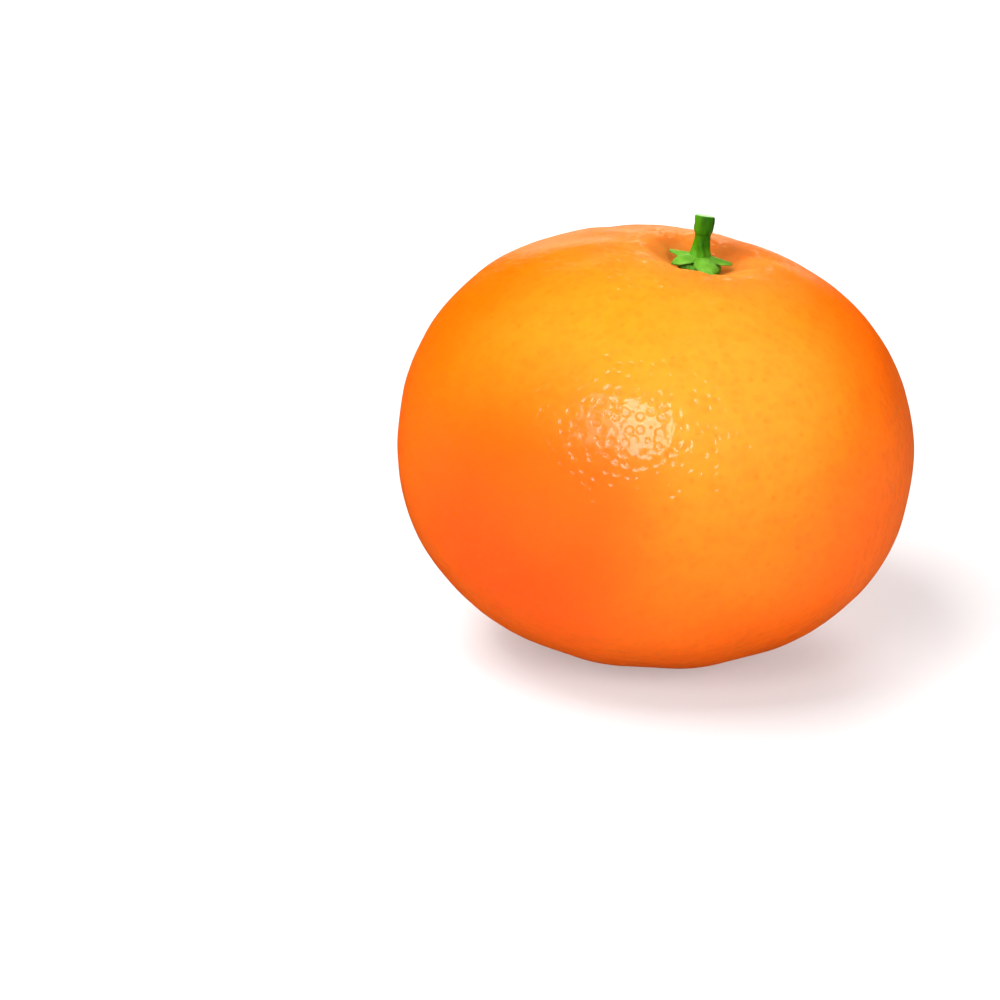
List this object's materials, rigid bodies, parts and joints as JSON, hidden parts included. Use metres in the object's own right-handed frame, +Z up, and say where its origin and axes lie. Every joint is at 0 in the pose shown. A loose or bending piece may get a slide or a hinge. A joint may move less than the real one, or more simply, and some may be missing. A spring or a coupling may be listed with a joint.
{
  "type": "whole mandarin",
  "caption": "Squat round citrus fruit with its peel on, a puckered stem dimple, a star-shaped green calyx and a short cut stem.",
  "frame": {"origin": "centre of the fruit's outline on the surface it rests on", "axes": "+Z up, with the stem end on top; +X is the side that the core and the stem lean toward; -Y is the front"},
  "size_m": [0.0662, 0.0644, 0.0561],
  "materials": {
    "peel": "waxy orange citrus rind with fine oil glands",
    "calyx": "fresh light green sepals, matte",
    "stem": "fresh green stalk, matte, with a pale cut face"
  },
  "bodies": {
    "root": {"fruit": "peel", "calyx": "calyx", "stem": "stem"}
  },
  "joints": []
}
